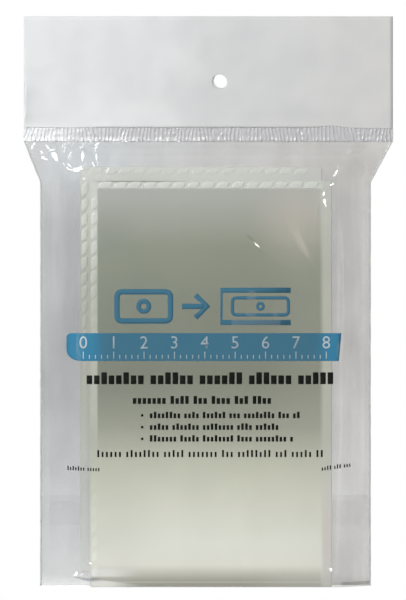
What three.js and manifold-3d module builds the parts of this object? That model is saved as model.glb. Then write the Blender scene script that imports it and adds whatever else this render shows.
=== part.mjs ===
// A hang pack of fifty clear currency sleeves: a bag of clear film under a white header,
// closed at the bottom by a flap that is folded up its back, with two bundles of sleeves in it.
// The rear bundle stands a little higher and further left than the front one, like a fanned deck.
// Millimetres. X is to the right, Y to the back and Z up. The origin is the hang hole's centre,
// midway between the two header films.

import * as THREE from "three";
import { mergeVertices } from "three/addons/utils/BufferGeometryUtils.js";
import Module from "manifold-3d";

const wasm = await Module();
wasm.setup();

// One sleeve: two sheets of polyester, welded along the left side and the top,
// and open along the right side and the bottom
const inch = 25.4;
const sleeveWidth = 3.125 * inch;
const sleeveHeight = 5.25 * inch;
const sleeveSheet = 0.075;
const pocketGap = 0.03;
const seamWidth = 2.6;

// The pressed beads along a sleeve's welds
const beadPitch = 4.84;
const beadNotch = 0.8;
const beadMargin = 0.1;
const beadHeight = 0.2;
const beadBevel = 0.1;
const beadRoot = 0.06;
const beadSlant = 0.9;

// The two bundles and how they are fanned
const sleevesPerBundle = 25;
const sleeveSpacing = 0.02;
const bundleGap = 0.4;
const fanAcross = 3.3;
const fanUp = 4.6;
const stackUnevenness = 0.2;

// The bag around the bundles
const bagFilm = 0.08;
const leftMargin = 13.5;
const rightMargin = 13.3;
const headSpace = 8.8;
const floorClearance = 0.3;
const frontClearance = 0.5;
const backClearance = 0.12;
const shoulderClearance = 1.0;
const roofDrop = 7.8;
const taperHeight = 13.6;
const leftShoulder = 5.4;
const rightShoulder = 7.3;

// The welds of the bag: a thin bead down each side and a ribbed band under the header
const sideWeldWidth = 0.5;
const sideWeldDepth = 0.35;
const sealHeight = 4.5;
const sealThickness = 0.24;
const ribPitch = 1.26;
const ribDepth = 0.18;

// The header and its hang hole
const headerHeight = 36.9;
const headerFilm = 0.1;
const filmGap = 0.02;
const holeDiameter = 4.9;
const holeBelowTop = 21.7;
const holeFromLeft = 64.8;

// The bottom closure: the front film turns under the sleeves and up the back
const flapHeight = 30;
const flapGap = 0.12;
const foldGap = 0.06;
const adhesiveHeight = 8;
const adhesiveBelowEdge = 2;
const adhesiveSideInset = 3;
const adhesiveGap = 0.03;

// How finely the round stretches are cut
const holeSegments = 32;
const slopeSteps = 6;
const roofSteps = 5;

// Depths, from the back film forward
const sleeveDepth = 2 * sleeveSheet + pocketGap;
const bundleDepth = sleevesPerBundle * (sleeveDepth + sleeveSpacing) - sleeveSpacing;
const backFilmFront = filmGap / 2;
const rearBundleBack = backFilmFront - backClearance;
const frontBundleBack = rearBundleBack - bundleDepth - bundleGap;
const frontFilmInside = frontBundleBack - bundleDepth - frontClearance;

// Heights, from the top of the header down
const headerTop = holeBelowTop;
const headerBottom = headerTop - headerHeight;
const sealBottom = headerBottom - sealHeight;
const rearBundleTop = sealBottom - headSpace;
const rearBundleBottom = rearBundleTop - sleeveHeight;
const frontBundleBottom = rearBundleBottom - fanUp;
const stripTop = frontBundleBottom - floorClearance;
const filmBottom = stripTop + foldGap;
const stripBottom = stripTop - bagFilm;

// Places across, from the left of the header
const headerLeft = -holeFromLeft;
const pouchLeft = headerLeft + leftShoulder;
const rearBundleLeft = pouchLeft + leftMargin;
const frontBundleLeft = rearBundleLeft + fanAcross;
const frontBundleRight = frontBundleLeft + sleeveWidth;
const pouchRight = frontBundleRight + rightMargin;
const headerRight = pouchRight + rightShoulder;

const clearFilm = new THREE.MeshStandardMaterial({ color: 0xc6c9c7, roughness: 0.12, metalness: 0 });
const fusedFilm = new THREE.MeshStandardMaterial({ color: 0xdcdddc, roughness: 0.3, metalness: 0 });
const whiteFilm = new THREE.MeshStandardMaterial({ color: 0xe3e4e3, roughness: 0.35, metalness: 0 });
const polyester = new THREE.MeshStandardMaterial({ color: 0xb9bcae, roughness: 0.15, metalness: 0 });
const adhesive = new THREE.MeshStandardMaterial({ color: 0xd9d8cf, roughness: 0.6, metalness: 0 });

const pack = new THREE.Group();

function addPiece(parent, name, geometry, material) {
  const mesh = new THREE.Mesh(geometry, material);
  mesh.name = name;
  parent.add(mesh);
  return mesh;
}

// A box between two corners
function boxBetween(low, high) {
  const size = high.clone().sub(low);
  const middle = low.clone().add(high).multiplyScalar(0.5);
  return new THREE.BoxGeometry(size.x, size.y, size.z).translate(middle.x, middle.y, middle.z);
}

// A flat sheet with its outline in X and Z, between two depths
function sheet(outline, front, back) {
  const geometry = new THREE.ExtrudeGeometry(outline, {
    depth: back - front,
    bevelEnabled: false,
    curveSegments: holeSegments,
  });
  return geometry.rotateX(Math.PI / 2).translate(0, back, 0);
}

function outlineFrom(points) {
  return new THREE.Shape(points.map(([x, z]) => new THREE.Vector2(x, z)));
}

function toSolid(geometry) {
  const bare = geometry.clone();
  bare.deleteAttribute("normal");
  bare.deleteAttribute("uv");
  const merged = mergeVertices(bare, 1e-5);
  return new wasm.Manifold(new wasm.Mesh({
    numProp: 3,
    vertProperties: new Float32Array(merged.attributes.position.array),
    triVerts: new Uint32Array(merged.index.array),
  }));
}

function toGeometry(solid) {
  const mesh = solid.getMesh();
  const geometry = new THREE.BufferGeometry();
  geometry.setAttribute("position", new THREE.BufferAttribute(mesh.vertProperties, 3));
  geometry.setIndex(new THREE.BufferAttribute(mesh.triVerts, 1));
  geometry.computeVertexNormals();
  return geometry;
}

// Header: two white films with one punched hole through both
function headerSheet(front, back) {
  const outline = outlineFrom([
    [headerLeft, headerBottom],
    [headerRight, headerBottom],
    [headerRight, headerTop],
    [headerLeft, headerTop],
  ]);
  const hole = new THREE.Path();
  hole.absarc(0, 0, holeDiameter / 2, 0, 2 * Math.PI, true);
  outline.holes.push(hole);
  return sheet(outline, front, back);
}

// Seal: a band of fused film, pressed into vertical ribs
function sealBand() {
  const ribCount = Math.round((headerRight - headerLeft) / ribPitch);
  const halfRib = (headerRight - headerLeft) / ribCount / 2;
  const front = [];
  const back = [];
  for (let step = 0; step <= 2 * ribCount; step += 1) {
    const x = headerLeft + step * halfRib;
    const wave = (step % 2 === 0 ? -0.5 : 0.5) * ribDepth;
    front.push(new THREE.Vector2(x, wave - sealThickness / 2));
    back.push(new THREE.Vector2(x, wave + sealThickness / 2));
  }
  const outline = new THREE.Shape([...front, ...back.reverse()]);
  const geometry = new THREE.ExtrudeGeometry(outline, { depth: sealHeight, bevelEnabled: false });
  return geometry.translate(0, 0, sealBottom);
}

// The bag's left or right edge at a height: it tapers in below the seal and then runs straight
function edgeAt(z, topX, straightX) {
  const share = Math.min((sealBottom - z) / taperHeight, 1);
  return topX + (straightX - topX) * share;
}

function leftEdge(z) {
  return edgeAt(z, headerLeft, pouchLeft);
}

function rightEdge(z) {
  return edgeAt(z, headerRight, pouchRight);
}

// How far the front film has risen at a share of its slope, from 0 at a weld to 1 on the sleeves
function rise(share) {
  return Math.sin((Math.PI / 2) * Math.min(share, 1));
}

// The front film's inside, as a row of points across the bag at one height
function frontRow(z) {
  const left = leftEdge(z) + sideWeldWidth;
  const right = rightEdge(z) - sideWeldWidth;
  const flatLeft = frontBundleLeft - shoulderClearance;
  const flatRight = frontBundleRight + shoulderClearance;
  const rim = -filmGap / 2;
  const lift = (frontFilmInside - rim) * rise((sealBottom - z) / roofDrop);
  const row = [];
  for (let step = 0; step <= slopeSteps; step += 1) {
    const share = step / slopeSteps;
    row.push(new THREE.Vector3(left + (flatLeft - left) * share, rim + lift * rise(share), z));
  }
  for (let step = slopeSteps; step >= 0; step -= 1) {
    const share = step / slopeSteps;
    row.push(new THREE.Vector3(right + (flatRight - right) * share, rim + lift * rise(share), z));
  }
  return row;
}

// A closed skin of one thickness behind which the grid of points is the inside
function skinOver(rows, thickness) {
  const across = rows[0].length;
  const inside = rows.flat();
  const outside = inside.map((point) => point.clone().add(new THREE.Vector3(0, -thickness, 0)));
  const positions = [...inside, ...outside].flatMap((point) => point.toArray());
  const index = [];
  const quad = (a, b, c, d) => index.push(a, b, c, a, c, d);
  const place = (row, column) => row * across + column;
  const offset = inside.length;
  for (let row = 0; row + 1 < rows.length; row += 1) {
    for (let column = 0; column + 1 < across; column += 1) {
      const a = place(row, column);
      const b = place(row, column + 1);
      const c = place(row + 1, column + 1);
      const d = place(row + 1, column);
      quad(a, b, c, d);
      quad(offset + a, offset + d, offset + c, offset + b);
    }
  }
  const rim = [];
  for (let column = 0; column < across; column += 1) rim.push(place(0, column));
  for (let row = 1; row < rows.length; row += 1) rim.push(place(row, across - 1));
  for (let column = across - 2; column >= 0; column -= 1) rim.push(place(rows.length - 1, column));
  for (let row = rows.length - 2; row > 0; row -= 1) rim.push(place(row, 0));
  rim.forEach((from, order) => {
    const to = rim[(order + 1) % rim.length];
    quad(offset + from, offset + to, to, from);
  });
  const geometry = new THREE.BufferGeometry();
  geometry.setAttribute("position", new THREE.Float32BufferAttribute(positions, 3));
  geometry.setIndex(index);
  geometry.computeVertexNormals();
  return geometry;
}

// Front film: it rises from the seal and both side welds and lies flat over the sleeves
function frontFilm() {
  const rows = [];
  for (let step = 0; step <= roofSteps; step += 1) {
    rows.push(frontRow(sealBottom - (roofDrop * step) / roofSteps));
  }
  if (taperHeight > roofDrop) rows.push(frontRow(sealBottom - taperHeight));
  rows.push(frontRow(filmBottom));
  return skinOver(rows, bagFilm);
}

// Back film: one flat sheet from the seal to the bottom
function backFilm() {
  const outline = outlineFrom([
    [leftEdge(sealBottom) + sideWeldWidth, sealBottom],
    [leftEdge(sealBottom - taperHeight) + sideWeldWidth, sealBottom - taperHeight],
    [leftEdge(filmBottom) + sideWeldWidth, filmBottom],
    [rightEdge(filmBottom) - sideWeldWidth, filmBottom],
    [rightEdge(sealBottom - taperHeight) - sideWeldWidth, sealBottom - taperHeight],
    [rightEdge(sealBottom) - sideWeldWidth, sealBottom],
  ]);
  return sheet(outline, backFilmFront, backFilmFront + bagFilm);
}

// Side weld: the bead that the hot knife leaves where it cuts and joins both films
function sideWeld(edge, inward) {
  const heights = [sealBottom, sealBottom - taperHeight, filmBottom];
  const outer = heights.map((z) => [edge(z), z]);
  const inner = heights.map((z) => [edge(z) + inward * sideWeldWidth, z]);
  return sheet(outlineFrom([...outer, ...inner.reverse()]), -sideWeldDepth / 2, sideWeldDepth / 2);
}

// Depths of the folded flap, behind the back film
const flapFront = backFilmFront + bagFilm + flapGap;
const flapBack = flapFront + bagFilm;

// Bottom fold: the front film turned under the sleeves, as wide at the back as the bag
function bottomStrip() {
  const front = frontRow(filmBottom).map((point) => new THREE.Vector2(point.x, point.y - bagFilm));
  const back = [
    new THREE.Vector2(pouchRight, -filmGap),
    new THREE.Vector2(pouchRight, flapFront),
    new THREE.Vector2(pouchLeft, flapFront),
    new THREE.Vector2(pouchLeft, -filmGap),
  ];
  const outline = new THREE.Shape([...front, ...back]);
  const geometry = new THREE.ExtrudeGeometry(outline, { depth: bagFilm, bevelEnabled: false });
  return geometry.translate(0, 0, stripBottom);
}

function closingFlap() {
  const low = new THREE.Vector3(pouchLeft, flapFront, stripTop + foldGap);
  const high = new THREE.Vector3(pouchRight, flapBack, stripTop + foldGap + flapHeight);
  return boxBetween(low, high);
}

function adhesiveStrip() {
  const top = stripTop + foldGap + flapHeight - adhesiveBelowEdge;
  const front = backFilmFront + bagFilm + adhesiveGap;
  const low = new THREE.Vector3(pouchLeft + adhesiveSideInset, front, top - adhesiveHeight);
  const high = new THREE.Vector3(pouchRight - adhesiveSideInset, flapFront, top);
  return boxBetween(low, high);
}

// One bead: a slanted pillow that runs along X from 0, on the front of a weld
function bead() {
  const half = seamWidth / 2 - beadMargin - beadBevel;
  const length = beadPitch - beadNotch - 2 * beadBevel;
  const outline = outlineFrom([
    [-beadSlant / 2, -half],
    [length - beadSlant / 2, -half],
    [length + beadSlant / 2, half],
    [beadSlant / 2, half],
  ]);
  const geometry = new THREE.ExtrudeGeometry(outline, {
    depth: beadRoot + beadHeight - 2 * beadBevel,
    bevelThickness: beadBevel,
    bevelSize: beadBevel,
    bevelSegments: 1,
  });
  const middle = (beadRoot - beadHeight) / 2;
  geometry.rotateX(Math.PI / 2);
  geometry.computeBoundingBox();
  const box = geometry.boundingBox;
  return geometry.translate(0, middle - (box.min.y + box.max.y) / 2, 0);
}

// Copies of the bead along both welds of a sleeve whose lower left corner is at the origin
function beadsOfSleeve() {
  const pieces = [];
  const first = seamWidth;
  const upCount = Math.floor((sleeveHeight - 2 * seamWidth) / beadPitch);
  for (let count = 0; count < upCount; count += 1) {
    const turned = bead().rotateY(-Math.PI / 2);
    pieces.push(turned.translate(seamWidth / 2, 0, first + count * beadPitch));
  }
  const acrossCount = Math.floor((sleeveWidth - 2 * seamWidth) / beadPitch);
  for (let count = 0; count < acrossCount; count += 1) {
    pieces.push(bead().translate(first + count * beadPitch, 0, sleeveHeight - seamWidth / 2));
  }
  return pieces.map(toSolid);
}

// A sleeve with its front face at Y 0 and its lower left corner at the origin
function sleeveSolid() {
  const whole = boxBetween(
    new THREE.Vector3(0, 0, 0),
    new THREE.Vector3(sleeveWidth, sleeveDepth, sleeveHeight),
  );
  const pastEdge = 1;
  const pocket = boxBetween(
    new THREE.Vector3(seamWidth, sleeveSheet, -pastEdge),
    new THREE.Vector3(sleeveWidth + pastEdge, sleeveSheet + pocketGap, sleeveHeight - seamWidth),
  );
  return toSolid(whole).subtract(toSolid(pocket));
}

// How far a sleeve lies off the bundle's true edges, as in a stack squared up by hand
function unevenness(order) {
  const turn = 2.4 * order;
  return { across: stackUnevenness * Math.sin(turn), up: stackUnevenness * Math.sin(1.7 * turn) };
}

// A bundle of sleeves, front one first; only the front one is not pressed flat by a neighbour
function addBundle(firstNumber, left, bottom, back) {
  const bundle = new THREE.Group();
  const plain = toGeometry(sleeveSolid());
  const beaded = toGeometry(wasm.Manifold.union([sleeveSolid(), ...beadsOfSleeve()]));
  const front = back - bundleDepth;
  for (let order = 0; order < sleevesPerBundle; order += 1) {
    const name = `sleeve_${String(firstNumber + order).padStart(2, "0")}`;
    const mesh = addPiece(bundle, name, order === 0 ? beaded : plain, polyester);
    const { across, up } = unevenness(order);
    mesh.position.set(across, front + order * (sleeveDepth + sleeveSpacing), up);
  }
  bundle.position.set(left, 0, bottom);
  pack.add(bundle);
}

addPiece(pack, "header_front_film", headerSheet(-filmGap / 2 - headerFilm, -filmGap / 2), whiteFilm);
addPiece(pack, "header_back_film", headerSheet(filmGap / 2, filmGap / 2 + headerFilm), whiteFilm);
addPiece(pack, "crimp_seal", sealBand(), fusedFilm);
addPiece(pack, "pouch_front_film", frontFilm(), clearFilm);
addPiece(pack, "pouch_back_film", backFilm(), clearFilm);
addPiece(pack, "left_side_weld", sideWeld(leftEdge, 1), fusedFilm);
addPiece(pack, "right_side_weld", sideWeld(rightEdge, -1), fusedFilm);
addPiece(pack, "bottom_fold", bottomStrip(), clearFilm);
addPiece(pack, "closing_flap", closingFlap(), clearFilm);
addPiece(pack, "adhesive_strip", adhesiveStrip(), adhesive);
addBundle(1, frontBundleLeft, frontBundleBottom, frontBundleBack);
addBundle(1 + sleevesPerBundle, rearBundleLeft, rearBundleBottom, rearBundleBack);

export default pack;
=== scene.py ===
"""Looks of a hang pack of clear currency sleeves: a bag of clear film under a white header, with two
bundles of sleeves in it. It hangs upright with its front to -Y, and the origin is its hang hole.

All lengths are in millimetres in the shared frame. They become metres when a mesh or a lamp is made.
"""

import math
from collections import namedtuple

import bpy
import numpy as np
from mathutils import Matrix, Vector


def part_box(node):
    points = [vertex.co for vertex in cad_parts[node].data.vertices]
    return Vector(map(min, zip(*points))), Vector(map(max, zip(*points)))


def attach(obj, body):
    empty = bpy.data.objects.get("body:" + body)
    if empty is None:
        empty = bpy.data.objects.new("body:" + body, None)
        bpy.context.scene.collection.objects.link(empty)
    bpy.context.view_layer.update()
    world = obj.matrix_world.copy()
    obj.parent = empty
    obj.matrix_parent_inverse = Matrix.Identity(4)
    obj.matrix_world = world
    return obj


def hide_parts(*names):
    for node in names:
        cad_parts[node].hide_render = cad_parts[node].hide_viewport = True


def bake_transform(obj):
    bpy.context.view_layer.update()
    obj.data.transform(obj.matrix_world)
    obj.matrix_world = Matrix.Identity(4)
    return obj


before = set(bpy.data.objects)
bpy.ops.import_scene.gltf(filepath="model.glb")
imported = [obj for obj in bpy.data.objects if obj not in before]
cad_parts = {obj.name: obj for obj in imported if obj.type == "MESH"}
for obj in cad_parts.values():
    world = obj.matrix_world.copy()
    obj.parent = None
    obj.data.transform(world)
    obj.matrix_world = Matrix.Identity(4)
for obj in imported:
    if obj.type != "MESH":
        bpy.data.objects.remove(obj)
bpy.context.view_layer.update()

# One millimetre in metres
MM = 0.001


def box_mm(node):
    """Lowest and highest corner of a CAD node in millimetres."""
    low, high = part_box(node)
    return np.array(low) / MM, np.array(high) / MM


# Sizes that the frame's boxes don't give
bag_film = 0.08
header_film = 0.1
weld_width = 0.5
hole_radius = 2.45
taper_height = 13.6
roof_drop = 7.8
shoulder_clearance = 1.0
seam_width = 2.6
fold_radius = 0.5

# Places that come from the frame
header_low, header_high = box_mm("header_front_film")
seal_low, seal_high = box_mm("crimp_seal")
flap_low, flap_high = box_mm("closing_flap")
adhesive_low, adhesive_high = box_mm("adhesive_strip")
front_low, front_high = box_mm("sleeve_02")
front_left, front_right, front_top = front_low[0], front_high[0], front_high[2]
rear_right = box_mm("sleeve_27")[1][0]
film_low = box_mm("pouch_front_film")[0]
back_film_inside = box_mm("pouch_back_film")[0][1]
strip_top = box_mm("bottom_fold")[1][2]
left_straight = box_mm("left_side_weld")[1][0] - weld_width
right_straight = box_mm("right_side_weld")[0][0] + weld_width
left_top, right_top = header_low[0], header_high[0]
flat_left = front_left - shoulder_clearance
flat_right = front_right + shoulder_clearance
seal_bottom = seal_low[2]
film_bottom = film_low[2]
film_inside = film_low[1] + bag_film
film_end = film_bottom + fold_radius


# Numbers for shapes


def smooth(low, high, value):
    """0 below low, 1 above high, and an S curve between them."""
    share = np.clip((value - low) / (high - low), 0.0, 1.0)
    return share * share * (3.0 - 2.0 * share)


def wander(x, z, cell_x, cell_z, seed):
    """Smooth noise from -1 to 1 over the plane, with cells of the given size."""
    count = 64
    lattice = np.random.default_rng(seed).uniform(-1.0, 1.0, (count, count))
    offset_x, offset_z = 0.37, 0.61
    u, v = x / cell_x + offset_x, z / cell_z + offset_z
    column, row = np.floor(u).astype(int), np.floor(v).astype(int)
    across, up = smooth(0.0, 1.0, u - column), smooth(0.0, 1.0, v - row)
    here, there = column % count, (column + 1) % count
    low, high = [
        lattice[k % count, here] * (1.0 - across) + lattice[k % count, there] * across
        for k in (row, row + 1)
    ]
    return low * (1.0 - up) + high * up


def wander_along(x, cell, seed):
    """Smooth noise from -1 to 1 along one line."""
    return wander(x, np.zeros_like(x), cell, cell, seed)


def steps(*stops):
    """Values from stop to stop, where stops are value, spacing, value, spacing, ... value."""
    values = [stops[0]]
    for start, spacing, end in zip(stops[0::2], stops[1::2], stops[2::2]):
        count = max(1, int(round(abs(end - start) / spacing)))
        values += [start + (end - start) * (k + 1) / count for k in range(count)]
    return np.array(values)


def full_turn(sides):
    """Angles of the corners of a ring."""
    return np.linspace(0.0, 2.0 * math.pi, sides + 1)[:-1]


def turned(across, up, degrees):
    """Coordinates along and beside a direction that is turned from X."""
    cos, sin = math.cos(math.radians(degrees)), math.sin(math.radians(degrees))
    return across * cos + up * sin, up * cos - across * sin


# Meshes


def add_object(name, data):
    thing = bpy.data.objects.new(name, data)
    bpy.context.scene.collection.objects.link(thing)
    return thing


def add_mesh(name, points_mm, faces, materials, rounded=True, face_slots=None):
    """A new object. Rounded says if its faces are shaded as one: one answer for all, or a list."""
    mesh = bpy.data.meshes.new(name)
    mesh.from_pydata((np.asarray(points_mm) * MM).tolist(), [], faces)
    mesh.validate()
    for material in materials:
        mesh.materials.append(material)
    if face_slots is not None:
        mesh.polygons.foreach_set("material_index", face_slots)
    answers = rounded if isinstance(rounded, list) else [rounded] * len(mesh.polygons)
    mesh.polygons.foreach_set("use_smooth", answers)
    mesh.update()
    return add_object(name, mesh)


def grid_faces(rows, columns, closed=False):
    """Quads between neighbouring points of a grid whose points run row by row."""
    faces = []
    for row in range(rows - 1):
        for column in range(columns if closed else columns - 1):
            a = row * columns + column
            b = row * columns + (column + 1) % columns
            faces.append((a, b, b + columns, a + columns))
    return faces


def joined(shapes):
    """One set of points and faces from several."""
    points, faces, total = [], [], 0
    for shape_points, shape_faces in shapes:
        points.append(shape_points)
        faces.extend(tuple(total + k for k in face) for face in shape_faces)
        total += len(shape_points)
    return np.concatenate(points), faces


def shown_mesh(thing):
    """A mesh of what the object shows, with its modifiers worked in."""
    bpy.context.view_layer.update()
    return bpy.data.meshes.new_from_object(thing.evaluated_get(bpy.context.evaluated_depsgraph_get()))


def thicken(piece, thickness, side):
    """Turns an open sheet into a closed one. Side 1 grows it along its normals, and -1 against them."""
    solid = piece.modifiers.new("thickness", "SOLIDIFY")
    solid.thickness = thickness * MM
    solid.offset = side
    solid.use_even_offset = False
    solid.use_quality_normals = True
    mesh = shown_mesh(piece)
    piece.modifiers.clear()
    piece.data = mesh


def let_light_through(piece):
    """Clear film and thin ink throw no shadow, and light on its way from piece to piece passes them."""
    piece.visible_shadow = False
    piece.visible_diffuse = False


def add_sheet(name, x, y, z, material, thickness, side, clear=True):
    """A sheet with a thickness, from grids of its points' coordinates. A clear one lets light through."""
    points = np.stack([x, y, z], axis=-1).reshape(-1, 3)
    piece = add_mesh(name, points, grid_faces(*x.shape), [material])
    thicken(piece, thickness, side)
    if clear:
        let_light_through(piece)
    return piece


# Materials


class Value:
    """A number, colour or shader that the nodes of a material or the world work out at each point."""

    def __init__(self, owner, socket):
        self.owner = owner
        self.socket = socket

    def __add__(self, other):
        return maths("ADD", self, other)

    def __sub__(self, other):
        return maths("SUBTRACT", self, other)

    def __mul__(self, other):
        return maths("MULTIPLY", self, other)

    def __truediv__(self, other):
        return maths("DIVIDE", self, other)

    def __pow__(self, other):
        return maths("POWER", self, other)

    def ramp(self, low, high):
        """An S curve from 0 at low to 1 at high; low may be the larger one."""
        inputs = {
            "Value": self,
            "From Min": min(low, high), "From Max": max(low, high),
            "To Min": float(low > high), "To Max": float(low < high),
        }
        curve = "SMOOTHSTEP"
        return add_node(self.owner, "ShaderNodeMapRange", inputs, "Result", interpolation_type=curve)


def plug(value, socket):
    """Feeds a socket from a Value, or sets it to a number, a vector or a colour."""
    if isinstance(value, Value):
        value.owner.node_tree.links.new(value.socket, socket)
    elif socket.type == "RGBA":
        socket.default_value = (*value, 1.0)
    else:
        socket.default_value = value


def add_node(owner, kind, inputs, output=0, **settings):
    """A new node with its settings and inputs, as the Value of one of its outputs."""
    node = owner.node_tree.nodes.new(kind)
    for name, setting in settings.items():
        setattr(node, name, setting)
    for name, value in inputs.items():
        plug(value, node.inputs[name])
    return Value(owner, node.outputs[output])


def clear_nodes(owner):
    owner.use_nodes = True
    owner.node_tree.nodes.clear()


def start_material(name, axes="XZ"):
    """A new material's places at rest: the vector in metres, and the coordinates along some axes."""
    material = bpy.data.materials.new(name)
    clear_nodes(material)
    place = add_node(material, "ShaderNodeTexCoord", {}, "Object")
    metres = [add_node(material, "ShaderNodeSeparateXYZ", {0: place}, axis) for axis in axes]
    return place, *[length * (1.0 / MM) for length in metres]


def finish_nodes(shader, output="ShaderNodeOutputMaterial"):
    """Makes the shader the surface of its material or world, and returns that."""
    plug(shader, shader.owner.node_tree.nodes.new(output).inputs["Surface"])
    return shader.owner


def maths(operation, first, second=0.0, clamp=False):
    inputs = {0: first, 1: second}
    return add_node(first.owner, "ShaderNodeMath", inputs, operation=operation, use_clamp=clamp)


def larger(first, second):
    return maths("MAXIMUM", first, second)


def distance(first, second):
    return (first * first + second * second) ** 0.5


def colour_mix(share, first, second):
    inputs = {"Factor": share, 6: first, 7: second}
    return add_node(share.owner, "ShaderNodeMix", inputs, 2, data_type="RGBA")


def tinted(colour, *tints):
    """The colour, drawn by each tint's share to the tint's own colour, one after another."""
    for share, towards in tints:
        colour = colour_mix(share, colour, towards)
    return colour


def noise(place, size, detail=2.0, stretch=(1.0, 1.0, 1.0)):
    """Noise from 0 to 1 with lumps of about the given size."""
    stretched = add_node(place.owner, "ShaderNodeMapping", {"Vector": place, "Scale": stretch})
    inputs = {"Vector": stretched, "Scale": 1.0 / (size * MM), "Detail": detail}
    return add_node(place.owner, "ShaderNodeTexNoise", inputs, "Fac")


def height_colours(z, stops):
    """A colour by height. Stops are a height, red, green and blue, from the lowest up."""
    lowest, highest = stops[0][0], stops[-1][0]
    ramp = z.owner.node_tree.nodes.new("ShaderNodeValToRGB")
    plug((z - lowest) / (highest - lowest), ramp.inputs[0])
    marks = ramp.color_ramp.elements
    while len(marks) < len(stops):
        marks.new(0.5)
    for mark, (height, *colour) in zip(marks, stops):
        mark.position = (height - lowest) / (highest - lowest)
        mark.color = (*colour, 1.0)
    return Value(z.owner, ramp.outputs["Color"])


def soft_spot(x, z, centre_x, centre_z, reach, width=None, turn=0.0):
    """1 at a place and 0 from the reach on. With a width it is an oval, turned from X in degrees."""
    along, beside = turned(x - centre_x, z - centre_z, turn)
    return distance(along / reach, beside / (width or reach)).ramp(1.0, 0.0)


def bump(height, strength, depth):
    inputs = {"Strength": strength, "Distance": depth * MM, "Height": height}
    return add_node(height.owner, "ShaderNodeBump", inputs, "Normal")


def principled(colour, roughness, ior=1.45, **more):
    """A shiny surface; more is for further inputs of the node."""
    inputs = {"Base Color": colour, "Roughness": roughness, "IOR": ior, **more}
    return add_node(colour.owner, "ShaderNodeBsdfPrincipled", inputs)


def mix_shaders(share, first, second):
    return add_node(first.owner, "ShaderNodeMixShader", {0: share, 1: first, 2: second})


def see_through(opacity, shader):
    """Lets what is behind show past a shader, by 1 minus the opacity."""
    return mix_shaders(opacity, add_node(shader.owner, "ShaderNodeBsdfTransparent", {}), shader)


# The film's body colours as linear light, for the bag's left and its right side, and a painted bluish
# sheen on the film round the sleeves' upper left corner
front_body = ((0.26, 0.28, 0.31), (0.28, 0.27, 0.24))
back_body = ((0.185, 0.20, 0.205), (0.22, 0.20, 0.16))
shoulder_painted_sheen = (0.14, 0.215, 0.265)


def ear_crease_shade_and_doubling(x, z):
    """1 on the crease at the bag's lower left ear, where it paints the fold's shade, and less on the
    right ear's doubled film.
    """
    along = x.ramp(-48.0, -42.5)
    middle = along * -0.8 - 163.5
    half_width = along * 0.55 + 0.25
    off = maths("ABSOLUTE", z - middle)
    near = maths("DIVIDE", half_width - off, half_width, clamp=True)
    crease = near * x.ramp(-48.6, -47.0) * x.ramp(-38.0, -42.0)
    doubled = x.ramp(39.5, 40.5) * z.ramp(-164.9, -165.3) * 0.7
    return larger(crease, doubled)


def clear_film(name, left_opacity, right_opacity, body_colours, marks=0.0):
    """Thin clear film: a faint body with a gloss that mirrors the lamps. The opacities are lists of
    height and opacity from the lowest up, for the bag's left and its right side."""
    place, x, z = start_material(name)
    side = x.ramp(-45.0, 45.0)
    # A painted bluish sheen round the sleeves' upper left corner
    shoulder = soft_spot(x, z, -44.0, -25.0, 24.0, 17.0)
    body_colour = tinted(colour_mix(side, *body_colours), (shoulder, shoulder_painted_sheen))
    body = principled(body_colour, roughness=0.3, ior=1.3)
    levels = [
        height_colours(z, [(height, value, value, value) for height, value in stops])
        for stops in (left_opacity, right_opacity)
    ]
    clouds = noise(place, 11.0, stretch=(1.0, 1.0, 0.55)) * 0.5
    streaks = noise(place, 4.0, stretch=(1.0, 1.0, 0.06)) * 0.24
    left_margin = x.ramp(-55.0, -50.0) * x.ramp(-43.0, -46.0)
    # Painted shade: the film is made denser in the left margin beside the sleeves
    painted_shade_beside_stack = left_margin * z.ramp(-125.0, -75.0) * z.ramp(-29.0, -35.0)
    opacity = colour_mix(side, *levels) * (painted_shade_beside_stack * 0.20 + 1.0) * (clouds + streaks + 0.63)
    # The marks make the film denser: painted shade on the lower left ear's crease, and the right ear's
    # doubled film
    film = see_through(opacity + ear_crease_shade_and_doubling(x, z) * marks, body)
    facing = add_node(place.owner, "ShaderNodeLayerWeight", {"Blend": 0.5}, "Facing")
    gloss_share = facing ** 4.0 * 0.5 + 0.045
    gloss_inputs = {"Color": (1.0, 1.0, 1.0), "Roughness": 0.18}
    gloss = add_node(place.owner, "ShaderNodeBsdfGlossy", gloss_inputs)
    return finish_nodes(mix_shaders(gloss_share, film, gloss))


def white_film():
    """Satin white film, rougher in faint clouds. Its colour holds painted light, darker to the right and
    lighter at the upper left, and painted shade in soft clouds.
    """
    place, x, z = start_material("white header film")
    cloud = noise(place, 13.0, 1.5)
    # Painted light: darker to the right and lighter at the upper left; painted shade in soft clouds
    colour = tinted(
        (0.815, 0.825, 0.83),
        ((x + cloud * 30.0).ramp(-12.0, 18.0), (0.74, 0.745, 0.745)),
        (x.ramp(10.0, 55.0), (0.765, 0.76, 0.75)),
        (x.ramp(-18.0, -36.0) * z.ramp(2.0, -12.0), (0.87, 0.88, 0.885)),
        (cloud.ramp(0.36, 0.64) * 0.16, (0.55, 0.56, 0.59)),
    )
    grain = bump(noise(place, 0.5, detail=3.0), strength=0.15, depth=0.02)
    return finish_nodes(principled(colour, roughness=cloud * 0.15 + 0.38, Normal=grain))


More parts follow.
